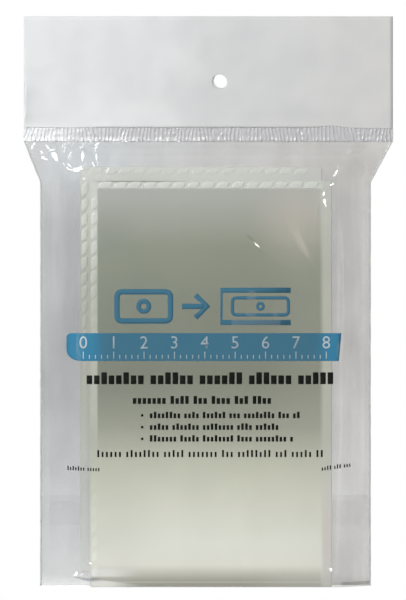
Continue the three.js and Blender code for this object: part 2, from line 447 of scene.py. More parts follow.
def fused_film():
    """Film that was melted and pressed: milky and glossy, with painted light that makes it whiter towards
    the left, and painted glints as white spots on its lower edge.
    """
    place, x, z = start_material("fused film")
    low_edge = z.ramp(seal_bottom + 2.0, seal_bottom)
    painted_glint_spots = noise(place, 0.9, 2.0).ramp(0.46, 0.56)
    # Painted light: whiter towards the left, and painted glints in spots along the lower edge
    colour = tinted(
        (0.50, 0.50, 0.515),
        (noise(place, 1.1, 3.0, (1.0, 1.0, 0.5)), (0.73, 0.73, 0.74)),
        (x.ramp(-30.0, -62.0), (0.86, 0.87, 0.88)),
        (low_edge * painted_glint_spots * x.ramp(4.0, -30.0), (0.97, 0.98, 0.99)),
    )
    return finish_nodes(principled(colour, roughness=0.22, ior=1.5))


def weld_bead_film():
    """The cut and melted edge of the bag: a thin grey line of film."""
    place = start_material("side weld film")[0]
    cloud = noise(place, 2.5, 2.0, (1.0, 1.0, 0.3))
    shader = principled(colour_mix(cloud, (0.44, 0.45, 0.46), (0.62, 0.62, 0.62)), roughness=0.25)
    return finish_nodes(see_through(0.5, shader))


def stack_colours(x, z):
    """Many clear sheets on each other: grey green, with painted reflection that makes them dark in the
    middle heights and pale low down, and a dark line of painted fold shade along the bottom, with a
    painted highlight line in it, paler at both ends."""
    # Painted reflection: dark at middle heights and pale low down; at the bottom, painted fold shade with
    # a painted highlight line
    colour = height_colours(z, [
        (-166.6, 0.30, 0.29, 0.22),
        (-165.5, 0.30, 0.29, 0.22),
        (-165.1, 0.50, 0.49, 0.40),
        (-164.7, 0.33, 0.32, 0.25),
        (-163.4, 0.48, 0.48, 0.38),
        (-159.5, 0.97, 0.97, 0.85),
        (-152.0, 0.97, 0.99, 0.87),
        (-142.0, 0.86, 0.88, 0.74),
        (-134.0, 0.74, 0.76, 0.60),
        (-126.0, 0.60, 0.62, 0.47),
        (-114.0, 0.27, 0.29, 0.20),
        (-98.0, 0.110, 0.135, 0.068),
        (-72.0, 0.120, 0.155, 0.085),
        (-55.0, 0.190, 0.225, 0.140),
        (-46.0, 0.32, 0.34, 0.27),
        (-38.0, 0.41, 0.43, 0.385),
    ])
    low_left = x.ramp(-10.0, -46.0) * z.ramp(-159.0, -150.0) * z.ramp(-108.0, -118.0)
    tapered = z + x.ramp(-18.0, -48.0) * -2.4
    # Painted shade of the film's fold along the bottom
    painted_fold_shade = z.ramp(-162.8, -163.8) * tapered.ramp(-166.7, -166.1)
    pale_end = x.ramp(-24.0, -38.0) * z.ramp(-160.0, -161.2) * (painted_fold_shade * -0.85 + 1.0)
    low_right = x.ramp(4.0, 24.0) * z.ramp(-161.5, -163.5)
    return tinted(
        colour,
        (low_left * 0.24, (0.42, 0.44, 0.34)),
        (pale_end, (0.96, 0.96, 0.90)),
        (low_right * 0.30, (0.62, 0.62, 0.55)),
    )


def edge_colours(z):
    """One bundle or a weld on its own: pale, as less film lies on film there. It is darker at middle
    heights by the same painted reflection as the stack.
    """
    return height_colours(z, [
        (-166.6, 0.56, 0.56, 0.50),
        (-162.0, 0.80, 0.80, 0.75),
        (-156.0, 0.80, 0.81, 0.74),
        (-140.0, 0.70, 0.72, 0.63),
        (-118.0, 0.53, 0.55, 0.46),
        (-90.0, 0.49, 0.50, 0.41),
        (-62.0, 0.52, 0.54, 0.45),
        (-46.0, 0.69, 0.71, 0.62),
        (-36.0, 0.70, 0.73, 0.66),
        (-28.0, 0.74, 0.76, 0.70),
    ])


def margin_colours(z):
    """The rear bundle's left edge low down, where it hardly shows in the film beside it."""
    return height_colours(z, [
        (-166.6, 0.90, 0.90, 0.88),
        (-160.0, 0.81, 0.82, 0.80),
        (-150.0, 0.73, 0.74, 0.72),
        (-140.0, 0.66, 0.67, 0.64),
        (-128.0, 0.60, 0.61, 0.57),
    ])


def sleeve_film():
    """The stack of sleeves: tinted inside the welds, pale on them and where one bundle lies alone."""
    place, x, z = start_material("stacked sleeve film")
    soft = 0.4
    inner_left = front_left + seam_width - soft
    inner_top = front_top - seam_width + soft
    low_seam = x.ramp(front_left - soft, front_left + soft) * z.ramp(-108.0, -132.0)
    inside = larger(x.ramp(inner_left - soft, inner_left + soft), low_seam)
    inside = inside * x.ramp(rear_right + 2.5 * soft, rear_right - 2.5 * soft)
    inside = inside * z.ramp(inner_top + soft, inner_top - soft)

    pale = edge_colours(z)
    # Painted light on the stack: a warm glare and a glare streak at the upper right, and painted shade at
    # the upper left
    warm_glare = soft_spot(x, z, 25.0, -46.5, 18.0)
    painted_glare_streak = soft_spot(x, z, 26.6, -53.2, 9.5, 1.9, -60.0)
    painted_shade_left = soft_spot(x, z, -36.0, -50.0, 13.0)
    inner_colour = tinted(
        stack_colours(x, z),
        (x.ramp(8.0, 34.0) * 0.16, pale),
        (noise(place, 26.0, 1.0, (1.2, 1.0, 0.6)) * 0.16, (0.50, 0.46, 0.38)),
        (warm_glare * 0.36, (0.68, 0.57, 0.50)),
        (painted_glare_streak * 0.42, (0.66, 0.60, 0.48)),
        (painted_shade_left * 0.26, (0.12, 0.18, 0.14)),
    )

    rear_only = x.ramp(front_left, front_left - soft) * z.ramp(-100.0, -128.0)
    rear_edge = x.ramp(front_left - 1.2, front_left - 2.2) * z.ramp(-110.0, -90.0) * z.ramp(-34.0, -37.0)
    front_only = x.ramp(rear_right, rear_right + soft)
    warm_grey = colour_mix(z.ramp(-160.0, -165.0), (0.73, 0.695, 0.635), (0.58, 0.565, 0.53))
    edge_colour = tinted(
        pale,
        (rear_only, margin_colours(z)),
        (rear_edge * 0.38, (0.40, 0.41, 0.39)),
        (front_only * z.ramp(-80.0, -50.0) * 0.40, (0.42, 0.43, 0.38)),
        (front_only * z.ramp(-125.0, -145.0) * 0.8, warm_grey),
        (x.ramp(4.0, 30.0) * z.ramp(-36.0, -31.0) * 0.7, (0.67, 0.67, 0.66)),
    )

    layers = noise(place, 0.3, 1.0, (0.02, 1.0, 0.02))
    # A painted shadow line along the front bundle's top edge
    line = z.ramp(front_top - 0.4, front_top) * z.ramp(front_top + 0.5, front_top + 0.1)
    line = line * x.ramp(-6.0, -24.0) * x.ramp(-42.0, -37.0)
    colour = tinted(
        edge_colour,
        (inside, inner_colour),
        (layers * 0.12, (0.30, 0.32, 0.26)),
        (line * 0.9, (0.24, 0.26, 0.22)),
    )
    return finish_nodes(principled(colour, roughness=0.24))


def bead_film():
    """The pressed beads of a sleeve's welds: paler than the film around them, partly as pressed film is
    and partly as painted light on their raised tops.
    """
    place, x, z = start_material("sleeve bead film")
    low_rear = x.ramp(front_left - 0.4, front_left - 0.8) * z.ramp(-100.0, -128.0)
    low_seam = x.ramp(front_left - 0.4, front_left + 0.4) * z.ramp(-108.0, -132.0)
    cloud = noise(place, 1.6, 2.0) * (low_seam * -0.28 + 0.3)
    colour = tinted(
        edge_colours(z),
        (z.ramp(-75.0, -40.0), (0.76, 0.79, 0.72)),
        (low_rear, margin_colours(z)),
        (low_seam, stack_colours(x, z)),
        (cloud, (0.50, 0.53, 0.45)),
    )
    return finish_nodes(principled(colour, roughness=0.2))


def milky_adhesive():
    place = start_material("milky adhesive")[0]
    cloud = noise(place, 3.0, 4.0)
    colour = colour_mix(cloud, (0.78, 0.77, 0.72), (0.90, 0.89, 0.84))
    shader = principled(colour, roughness=0.55, Normal=bump(cloud, strength=0.3, depth=0.05))
    return finish_nodes(see_through(0.045, shader))


def ink(name, colour, over_stack, opacity):
    """Printing ink that lets a little of what is behind it show, and looks darker over the sleeves."""
    place, x = start_material(name, "X")
    left, soft = front_left + seam_width, 3.0
    inside = x.ramp(left - soft, left + soft) * x.ramp(rear_right + soft, rear_right - soft)
    worn = noise(place, 5.0, 3.0) * 0.04
    worn_colour = tinted(colour, (inside, over_stack), (worn, (0.5, 0.5, 0.5)))
    shader = add_node(place.owner, "ShaderNodeBsdfDiffuse", {"Color": worn_colour})
    return finish_nodes(see_through(opacity, shader))


# Where the camera and the key lamp are
view_centre = np.array([-5.5, 0.0, -72.2])
view_height = 198.6
camera_distance = 2000.0
camera_place = view_centre + np.array([0.0, -camera_distance, 0.0])
key_place = np.array([-330.0, -400.0, 215.0])


def glint_slope(x, y, z):
    """The slopes of Y along X and Z at which a surface mirrors the key lamp to the camera. Its normal is
    then half way between the directions to both."""
    here = np.array([x, y, z])
    to_lamp = key_place - here
    to_camera = camera_place - here
    half = to_lamp / np.linalg.norm(to_lamp) + to_camera / np.linalg.norm(to_camera)
    return half[0] / -half[1], half[2] / -half[1]


# The bag's front film


def edge_at(z, top, straight):
    share = np.clip((seal_bottom - z) / taper_height, 0.0, 1.0)
    return top + (straight - top) * share


def quarter_wave(share):
    return np.sin(0.5 * math.pi * np.clip(share, 0.0, 1.0))


def film_sides(z):
    """The film's left and right edge at a height, inside the welds."""
    left = edge_at(z, left_top, left_straight) + weld_width
    right = edge_at(z, right_top, right_straight) - weld_width
    return left, right


def tent(x, z):
    """The film's inside as the CAD has it: flat over the sleeves, curved back at the welds and seal."""
    left, right = film_sides(z)
    across = np.minimum((x - left) / (flat_left - left), (right - x) / (right - flat_right))
    rim = -0.01
    return rim + (film_inside - rim) * quarter_wave(across) * quarter_wave((seal_bottom - z) / roof_drop)


def still_edge(x, z):
    """0 at the film's edges, where it is held, and 1 from 2 mm inside them."""
    left, right = film_sides(z)
    off_sides = smooth(0.0, 2.0, np.minimum(x - left, right - x))
    return off_sides * smooth(0.0, 1.5, seal_bottom - z) * smooth(0.0, 2.0, z - film_bottom)


def ripples(x, z):
    """Soft waves: upright ones in the margins, a fan under the seal and faint ones over the sleeves."""
    left_margin = smooth(flat_left + 3.0, flat_left - 4.0, x)
    right_margin = smooth(flat_right - 3.0, flat_right + 4.0, x)
    upright = 0.36 * wander(x, z, 3.4, 46.0, 3) + 0.20 * wander(x, z, 1.9, 21.0, 4)
    near_seal = np.exp(-(seal_bottom - z) / 5.0)
    fan = 0.28 * wander(x, z, 2.3, 9.0, 5) * near_seal
    flat = 0.09 * wander(x, z, 9.0, 17.0, 6) + 0.04 * wander(x, z, 4.0, 30.0, 7)
    return np.maximum(left_margin, right_margin) * upright + fan + flat


def corner_creases(x, z):
    """Small sharp creases where the film is drawn round the sleeves' upper corners."""
    left = np.exp(-(((x + 49.0) / 8.0) ** 2 + ((z + 26.0) / 6.5) ** 2))
    right = np.exp(-(((x - 37.0) / 6.0) ** 2 + ((z + 36.0) / 7.0) ** 2))
    folded = np.abs(wander(x, z, 2.6, 3.4, 11)) + 0.6 * np.abs(wander(x, z, 1.5, 1.9, 12))
    return (0.50 * left + 0.42 * right) * (folded - 0.7)


# A fold is a round ridge that stands out of the film between two places
Fold = namedtuple("Fold", "x z end_x end_z width height")
folds = [Fold(*numbers) for numbers in (
    (-45.6, -33.5, -57.5, -21.5, 1.0, 0.75),
    (-46.4, -31.0, -50.8, -20.5, 0.7, 0.45),
    (-44.9, -33.6, -44.4, -20.3, 0.55, 0.50),
    (-41.2, -33.0, -40.2, -20.2, 0.70, 0.62),
    (-38.4, -34.6, -35.8, -28.2, 0.45, 0.28),
    (-60.6, -24.4, -54.6, -26.2, 0.50, 0.42),
    (-51.6, -38.0, -50.4, -92.0, 1.30, 0.30),
    (-56.2, -60.0, -56.6, -150.0, 1.20, 0.26),
    (34.7, -36.2, 34.4, -46.5, 0.45, 0.40),
    (32.3, -37.0, 30.2, -47.0, 0.40, 0.26),
    (36.9, -34.6, 43.2, -21.5, 0.80, 0.45),
    (45.4, -23.5, 48.4, -31.5, 1.10, 0.55),
    (41.4, -40.0, 40.6, -128.0, 1.30, 0.30),
    (45.6, -70.0, 46.4, -155.0, 1.20, 0.24),
    (10.2, -50.8, 14.0, -55.8, 0.40, 0.22),
    (23.4, -44.0, 29.6, -62.0, 0.70, 0.26),
    (-52.4, -165.2, -47.9, -162.9, 0.34, 0.80),
    (-47.9, -162.9, -40.5, -163.6, 0.30, 0.70),
    (38.8, -165.2, 36.4, -159.8, 0.40, 0.60),
)]


def fold_offset(x, z):
    """How far the folds move the film: out, to the front, and less towards both ends of each."""
    total = np.zeros_like(x)
    for f in folds:
        run_x, run_z = f.end_x - f.x, f.end_z - f.z
        length = math.hypot(run_x, run_z)
        along, beside = turned(x - f.x, z - f.z, math.degrees(math.atan2(run_z, run_x)))
        bowed = beside - 0.35 * f.width * wander(along, np.full_like(x, f.x), 3.0, 1.0, 13)
        ends = smooth(-1.5, 0.25 * length, along) * smooth(length + 1.5, 0.7 * length, along)
        total -= f.height * ends * np.exp(-(bowed / f.width) ** 2)
    return total


# A crumple is a flat facet that mirrors the key lamp. Its length and width are half its size, its turn is
# from X in degrees, and a tilt of 1 is the slope that glints. Its place in the list seeds its outline
Crumple = namedtuple("Crumple", "x z length width turn tilt")
crumples = [Crumple(*numbers) for numbers in (
    (-50.2, -23.8, 3.2, 1.6, -85, 0.15),
    (-56.9, -21.6, 2.0, 0.7, -55, 1.0),
    (-54.4, -24.7, 3.0, 1.5, -62, 1.0),
    (-57.9, -25.6, 2.2, 0.6, -8, 1.0),
    (-46.9, -29.2, 2.3, 1.3, 15, 0.95),
    (-44.4, -31.8, 1.5, 0.6, 60, 1.0),
    (-45.2, -24.6, 3.4, 0.95, -86, 1.0),
    (-40.6, -24.7, 3.2, 0.65, 88, 1.0),
    (-40.6, -20.8, 1.6, 0.8, 40, 0.95),
    (-45.0, -20.7, 1.6, 0.5, -15, 0.9),
    (-39.0, -31.1, 1.7, 0.5, 62, 0.95),
    (34.8, -40.2, 2.4, 0.85, -75, 1.0),
    (34.4, -37.2, 1.6, 0.45, 80, 1.0),
    (36.8, -34.3, 1.4, 0.6, 20, 1.0),
    (39.3, -31.8, 0.9, 0.5, 60, 0.9),
    (40.8, -32.4, 0.8, 0.4, 0, 0.9),
    (31.0, -39.7, 1.0, 0.45, 85, 0.85),
    (32.2, -39.9, 0.8, 0.4, 0, 0.85),
    (30.0, -47.8, 1.4, 0.45, 85, 0.8),
    (42.6, -23.0, 1.6, 0.7, 70, 0.75),
    (12.2, -54.0, 3.8, 0.62, -48, 1.0),
    (-42.6, -158.9, 0.9, 0.8, 0, 0.9),
    (-47.2, -162.4, 1.6, 0.7, 60, 0.95),
    (36.8, -160.9, 1.7, 0.80, 85, 1.0),
)]


def facet_reach(along, beside, seed):
    """Distance from a facet's middle, where 1 is its edge: a corner-cut outline of six straight sides."""
    draw = np.random.default_rng(seed)
    reach = np.zeros_like(along)
    for side in range(6):
        towards_side = turned(along, beside, 60.0 * side + draw.uniform(-22.0, 22.0))[0]
        reach = np.maximum(reach, towards_side / draw.uniform(0.65, 1.0))
    return reach


def film_before_crumples(x, z):
    return tent(x, z) + still_edge(x, z) * (ripples(x, z) + corner_creases(x, z) + fold_offset(x, z))


def front_film_y(x, z):
    """The inside of the bag's front film, with each crumple's patch tilted to the slope that glints."""
    y = film_before_crumples(x, z)
    middles = np.array([(c.x, c.z) for c in crumples]).T
    heights = film_before_crumples(*middles)
    for seed, (c, height) in enumerate(zip(crumples, heights)):
        along, beside = turned(x - c.x, z - c.z, c.turn)
        reach = facet_reach(along / c.length, beside / c.width, seed)
        slope_x, slope_z = glint_slope(c.x, height, c.z)
        facet = height + c.tilt * (slope_x * (x - c.x) + slope_z * (z - c.z))
        y = y + (1.0 - smooth(0.75, 1.35, reach)) * (facet - y)
    return y


def film_columns():
    """Places across the bag where it is straight, close together in the margins."""
    left, right = left_straight + weld_width, right_straight - weld_width
    return steps(left, 0.31, front_left + 8.0, 1.4, 8.0, 0.45, front_right - 16.0, 0.33, right)


def film_grid(heights):
    """Points across the bag at each height, drawn out sideways where the bag widens to the header."""
    columns = film_columns()
    x, z = np.meshgrid(columns, heights)
    left, right = film_sides(z)
    left_pull = np.interp(columns, (columns[0], flat_left), (1.0, 0.0))
    right_pull = np.interp(columns, (flat_right, columns[-1]), (0.0, 1.0))
    return x + (left - columns[0]) * left_pull + (right - columns[-1]) * right_pull, z


def make_front_film(material):
    heights = steps(seal_bottom, 0.26, -46.0, 0.45, -58.0, 1.8, -158.0, 0.3, film_end)
    x, z = film_grid(heights)
    piece = add_sheet("front_bag_film", x, front_film_y(x, z), z, material, bag_film, -1)
    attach(piece, "bag")
    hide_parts("pouch_front_film")


def make_back_film(material):
    x, z = film_grid(steps(seal_bottom, 1.0, film_bottom))
    unevenness = 0.03
    wave = unevenness * wander(x, z, 6.0, 24.0, 21)
    y = back_film_inside + unevenness + still_edge(x, z) * wave
    piece = add_sheet("back_bag_film", x, y, z, material, bag_film, 1)
    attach(piece, "bag")
    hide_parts("pouch_back_film")


# Floor, world, lamps and camera


def light_path_white(owner):
    """1 for rays of sight, straight, mirrored or let through, and 0 for rays that gather light."""
    rays = ("Is Camera Ray", "Is Glossy Ray", "Is Transmission Ray")
    camera, glossy, transmission = [add_node(owner, "ShaderNodeLightPath", {}, ray) for ray in rays]
    return larger(larger(camera, glossy), transmission)


def make_world(level):
    """White to rays of sight, and of the given level to rays that gather light."""
    world = bpy.data.worlds.new("studio")
    bpy.context.scene.world = world
    clear_nodes(world)
    strength = light_path_white(world) * (1.0 - level) + level
    background = add_node(world, "ShaderNodeBackground", {"Color": (1.0, 1.0, 1.0), "Strength": strength})
    finish_nodes(background, "ShaderNodeOutputWorld")


def make_lamp(name, place_mm, width, height, watts, mirrored=True):
    """A square-cornered lamp that faces the middle of the view and isn't seen itself."""
    lamp = bpy.data.lights.new(name, "AREA")
    lamp.shape = "RECTANGLE"
    lamp.size = width * MM
    lamp.size_y = height * MM
    lamp.energy = watts
    holder = add_object(name, lamp)
    place, target = Vector(place_mm) * MM, Vector(view_centre) * MM
    holder.location = place
    holder.rotation_euler = (target - place).to_track_quat("-Z", "Y").to_euler()
    holder.visible_camera = False
    holder.visible_glossy = mirrored


def make_camera():
    camera = bpy.data.cameras.new("camera")
    camera.sensor_width = 36.0
    camera.lens = camera.sensor_width * camera_distance / view_height
    camera.clip_end = 20.0
    holder = add_object("camera", camera)
    holder.location = Vector(camera_place) * MM
    holder.rotation_euler = (math.radians(90), 0.0, 0.0)
    bpy.context.scene.camera = holder


def make_floor(height, radius):
    """A pale floor that keeps the shadow and goes over into the white all round."""
    place, x, y = start_material("pale floor", "XY")
    pale = add_node(place.owner, "ShaderNodeBsdfDiffuse", {"Color": (0.82, 0.82, 0.82)})
    glow = add_node(place.owner, "ShaderNodeEmission", {"Strength": light_path_white(place.owner) * 0.35})
    both = add_node(place.owner, "ShaderNodeAddShader", {0: pale, 1: glow})
    material = finish_nodes(see_through(distance(x, y).ramp(radius, 0.4 * radius), both))
    sides = 64
    turns = full_turn(sides)
    rings = [
        np.stack([ring * np.cos(turns), ring * np.sin(turns), np.full(sides, height)], axis=-1)
        for ring in (radius * 0.02, radius)
    ]
    faces = grid_faces(2, sides, closed=True) + [tuple(reversed(range(sides)))]
    floor = add_mesh("floor", np.concatenate(rings), faces, [material], False)


# Header


def header_wave(x, z):
    """Both header films wave together, and lie still at the seal."""
    free = smooth(0.0, 9.0, z - header_low[2])
    broad = 0.55 * wander(x, z, 31.0, 19.0, 31) + 0.22 * wander(x, z, 13.0, 16.0, 32)
    upright = 0.10 * wander(x, z, 5.0, 30.0, 33)
    return free * (broad + upright)


def header_front_bulge(x, z):
    """How far the front header film stands off the back one."""
    above_seal = z - header_low[2]
    lip_reach = smooth(-47.0, -36.0, x) * smooth(37.0, 26.0, x)
    lip = 0.42 * lip_reach * smooth(0.0, 0.55, above_seal) * np.exp(-above_seal / 3.2)
    from_left = x - left_top
    curl_height = smooth(-14.5, -10.0, z) * smooth(3.0, -3.0, z)
    curl = 1.3 * curl_height * np.exp(-from_left / 4.0)
    dent = 0.098 * smooth(1.5, 0.0, np.hypot(x, z) - hole_radius)
    loose = 0.12 * smooth(0.0, 6.0, above_seal)
    return lip + curl + loose - dent


def seal_top_shift(x):
    """The seal's upper edge is not quite straight: it wavers most towards the right."""
    kink = 0.55 * np.exp(-((x - 37.0) / 3.4) ** 2) - 0.35 * smooth(39.0, 50.0, x)
    return kink + 0.10 * wander_along(x, 9.0, 41)


def sheet_with_hole(columns, rows, block):
    """Points and quads of a sheet with a round hole at the origin, in rings from a square around it."""
    x, z = [grid.ravel() for grid in np.meshgrid(columns, rows)]
    reach = np.maximum(np.abs(x), np.abs(z))
    near_zero = 1e-6
    kept = np.flatnonzero(reach > block - near_zero)
    number = {k: n for n, k in enumerate(kept)}
    points = list(zip(x[kept], z[kept]))
    faces = []
    for corners in grid_faces(len(rows), len(columns)):
        if max(abs(x[list(corners)].mean()), abs(z[list(corners)].mean())) > block:
            faces.append(tuple(number[k] for k in corners))
    outer = [number[k] for k in kept if reach[k] < block + near_zero]
    outer.sort(key=lambda k: math.atan2(points[k][1], points[k][0]))
    block_edge = [points[k] for k in outer]
    rings = 7
    for ring_number in range(rings - 1, -1, -1):
        share = (ring_number / rings) ** 1.5
        inner = range(len(points), len(points) + len(outer))
        for across, up in block_edge:
            scale = share + (1.0 - share) * hole_radius / math.hypot(across, up)
            points.append((across * scale, up * scale))
        for n in range(len(inner)):
            after = (n + 1) % len(inner)
            faces.append((inner[n], outer[n], outer[after], inner[after]))
        outer = inner
    return np.array(points), faces


def make_header(material):
    block = 6.0
    columns = steps(left_top, 0.5, left_top + 6.0, 1.4, -block, 1.0, block, 1.4, right_top)
    rows = steps(header_low[2], 0.28, header_low[2] + 2.8, 0.85, -block, 1.0, block, 1.2, header_high[2])
    flat, faces = sheet_with_hole(columns, rows, block)
    x, z = flat.T
    above_seal = z - header_low[2]
    wave = header_wave(x, z)
    lower = z + smooth(3.0, 0.0, above_seal) * seal_top_shift(x)
    inward = smooth(-14.0, -9.0, z) * smooth(4.0, -2.0, z) * np.exp(-(x - left_top) / 3.0)
    back_wave = wave + 0.10 * smooth(0.0, 8.0, above_seal) * (1.0 + wander(x, z, 17.0, 12.0, 35))
    near_hole = smooth(6.0, 2.4, np.hypot(x, z))
    between_films = 0.02
    front = (x + 0.55 * inward, wave - header_front_bulge(x, z) - between_films / 2, lower)
    back = (x + 0.55 * near_hole, back_wave + between_films / 2, lower + 0.45 * near_hole)
    for name, node, places, side in (
        ("header_front_sheet", "header_front_film", front, 1),
        ("header_back_sheet", "header_back_film", back, -1),
    ):
        piece = add_mesh(name, np.stack(places, axis=-1), faces, [material])
        thicken(piece, header_film, side)
        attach(piece, "bag")
        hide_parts(node)


# Seal band

rib_pitch = 1.26


def rib_wave(x, z):
    """The pressed ribs: never quite alike, a little slanted, and crossed by sharp small creases."""
    middle = (seal_low[2] + seal_high[2]) / 2
    slant = 0.34 * wander_along(x, 4.5, 51) * (z - middle) + 0.28 * wander(x, z, 2.2, 2.4, 52)
    depth = 0.085 * (1.0 + 0.55 * wander(x, z, 3.0, 5.0, 53))
    phase = 2.0 * math.pi * (x + slant) / rib_pitch
    ribs = depth * (np.sin(phase) + 0.22 * np.sin(2.0 * phase + 0.8))
    crease = np.abs(wander(x, z, 1.1, 1.7, 54)) * 0.26 + 0.08 * wander(x, z, 0.7, 0.9, 55)
    lively = 0.35 + 0.65 * smooth(0.1, 0.7, np.abs(wander_along(x, 7.0, 56)))
    lively = np.maximum(lively, 1.3 * smooth(-32.0, -46.0, x))
    flecks = smooth(2.0, 0.6, z - seal_low[2]) * smooth(-50.0, -47.0, x) * smooth(-37.0, -40.0, x)
    return ribs + (lively + 1.2 * flecks) * crease


def make_seal(material):
    columns = steps(left_top, rib_pitch / 10.0, right_top)
    x, z = np.meshgrid(columns, steps(seal_low[2], 0.28, seal_high[2]))
    share = (z - seal_low[2]) / (seal_high[2] - seal_low[2])
    lower = 0.12 * wander_along(x, 3.0, 57)
    flare = 0.40 * smooth(1.5, 0.0, z - seal_low[2]) * smooth(-0.7, 0.3, wander_along(x, 2.2, 58))
    flare = flare * (0.35 + 0.65 * smooth(2.0, -14.0, x)) * smooth(0.0, 2.0, x - left_top)
    thickness = 0.2
    y = rib_wave(x, z) - thickness / 2 - flare
    moved = z + share * seal_top_shift(x) + (1.0 - share) * lower
    piece = add_sheet("ribbed_seal", x, y, moved, material, thickness, -1, clear=False)
    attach(piece, "bag")
    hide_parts("crimp_seal")


# Side welds


def make_weld(name, node, top, straight, inward, material):
    heights = steps(seal_bottom, 1.0, film_bottom)
    sides = 10
    half_depth = 0.16
    wobble = 0.05 * wander(heights, heights, 3.0, 3.0, 61)
    centre = edge_at(heights, top, straight) + inward * weld_width / 2 + wobble
    across = (weld_width / 2) * (1.0 + 0.25 * wander(heights, heights, 2.1, 4.0, 62))
    turns, z = np.meshgrid(full_turn(sides), heights)
    x = centre[:, None] + across[:, None] * np.cos(turns)
    points = np.stack([x, half_depth * np.sin(turns), z], axis=-1).reshape(-1, 3)
    last = (len(heights) - 1) * sides
    faces = grid_faces(len(heights), sides, closed=True)
    faces += [tuple(reversed(range(sides))), tuple(range(last, last + sides))]
    piece = add_mesh(name, points, faces, [material])
    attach(piece, "bag")
    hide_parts(node)


# Bottom closure

# Where the bottom strip ends and the flap starts, and how high up the flap's flat back starts
flap_joint_y = -1.2
flap_back_start = strip_top + 0.6


def make_bottom_film(material):
    """The front film goes on round the sleeves' lower edge and back under them."""
    x = film_columns()
    top_y = front_film_y(x, np.full_like(x, film_end))
    least_run = 0.05
    bend = np.minimum(fold_radius, np.maximum(0.45 * (flap_joint_y - top_y), least_run))
    last_y = np.maximum(flap_joint_y, top_y + bend + least_run)
    places = []
    for turn in np.linspace(0.0, 0.5 * math.pi, 9):
        z = np.full_like(x, film_end + (strip_top - film_end) * math.sin(turn))
        places.append((x, top_y + bend * (1.0 - math.cos(turn)), z))
    for share in np.linspace(0.0, 1.0, 9)[1:]:
        y = top_y + bend + (last_y - top_y - bend) * share
        sag = -0.03 * (1.0 + wander(x, y, 7.0, 4.0, 71))
        places.append((x, y, strip_top + sag))
    grids = np.transpose(places, (1, 2, 0))
    piece = add_sheet("bottom_bag_film", *grids, material, bag_film, 1)
    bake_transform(piece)
    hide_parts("bottom_fold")


def make_flap(material):
    """The flap starts under the sleeves and is folded up the bag's back."""
    inside = flap_low[1]
    bend = 0.45
    under = strip_top - 0.03
    profile = [(y, under) for y in np.linspace(flap_joint_y, inside - bend, 5)]
    for turn in np.linspace(0.0, 0.5 * math.pi, 7)[1:]:
        profile.append((inside - bend + bend * math.sin(turn), under + bend * (1.0 - math.cos(turn))))
    profile += [(inside, z) for z in steps(flap_back_start, 0.9, flap_high[2])]
    y, z = np.array(profile).T
    x, y = np.meshgrid(steps(flap_low[0] + 0.2, 0.9, flap_high[0] - 0.2), y, indexing="ij")
    z = np.broadcast_to(z, x.shape)
    wave = 0.14 * wander(x, z, 8.0, 11.0, 81) + 0.05
    on_back = z >= flap_back_start
    y = y + on_back * smooth(0.0, 4.0, z - strip_top) * wave
    piece = add_sheet("closing_flap_film", x, y, z, material, bag_film, 1)
    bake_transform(piece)
    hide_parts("closing_flap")


def make_adhesive(material):
    adhesive_thickness = 0.06
    across = steps(adhesive_low[0], 0.8, adhesive_high[0])
    x, z = np.meshgrid(across, steps(adhesive_low[2], 0.8, adhesive_high[2]), indexing="ij")
    y = np.full_like(x, adhesive_low[1] + 0.01)
    piece = add_sheet("adhesive_band", x, y, z, material, adhesive_thickness, 1)
    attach(piece, "closing_flap")
    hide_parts("adhesive_strip")


# Sleeves with beaded welds

bead_pitch = 4.84
bead_gap = 0.35
bead_slant = 0.60


def bead_points(length, width, height):
    """Points and faces of one slanted pillow, which lies along its first axis and rises on its third."""
    s, t = np.meshgrid(np.linspace(-1.0, 1.0, 11), np.linspace(-1.0, 1.0, 9))
    x = s * (1.0 - 0.14 * t * t) * length / 2 + bead_slant * t
    z = t * (1.0 - 0.16 * s * s) * width / 2
    lift = (1.0 - s ** 4) * (1.0 - t ** 2)
    root = 0.03
    top = np.stack([x, z, -root + (height + root) * lift], axis=-1).reshape(-1, 3)
    on_rim = (np.maximum(np.abs(s), np.abs(t)) == 1.0).ravel()
    points = list(map(tuple, top))
    under = []
    for k, (px, pz, _) in enumerate(top):
        under.append(k if on_rim[k] else len(points))
        if not on_rim[k]:
            points.append((px, pz, -root))
    faces = grid_faces(*s.shape)
    faces += [tuple(under[k] for k in reversed(face)) for face in faces]
    return np.array(points), faces


def sleeve_beads(low, high, face_y, outward, side_height, top_height):
    """Beads along a sleeve's left and top welds, on its face at face_y: flatter low down at the side."""
    left, _, bottom = low
    right, _, top = high
    shapes = []
    jitter = 0.12
    draw = np.random.default_rng(91)

    def place(across, up, upright, height):
        length = (bead_pitch - bead_gap) * draw.uniform(0.86, 1.02)
        bead, faces = bead_points(length, seam_width - 0.1, height)
        across, up = across + draw.uniform(-jitter, jitter), up + draw.uniform(-jitter, jitter)
        a, b = (bead[:, 1], bead[:, 0]) if upright else (bead[:, 0], bead[:, 1])
        if (outward > 0) != upright:
            faces = [tuple(reversed(face)) for face in faces]
        shapes.append((np.stack([across + a, face_y + outward * bead[:, 2], up + b], axis=-1), faces))

    for count in range(int((top - bottom - 2 * seam_width) / bead_pitch)):
        up = bottom + seam_width + (count + 0.5) * bead_pitch
        fade = 0.12 + 0.88 * smooth(-100.0, -52.0, up)
        place(left + seam_width / 2, up, True, side_height * fade)
    for count in range(int((right - left - 2 * seam_width) / bead_pitch)):
        across = left + seam_width + (count + 0.5) * bead_pitch
        place(across, top - seam_width / 2, False, top_height)
    return joined(shapes)


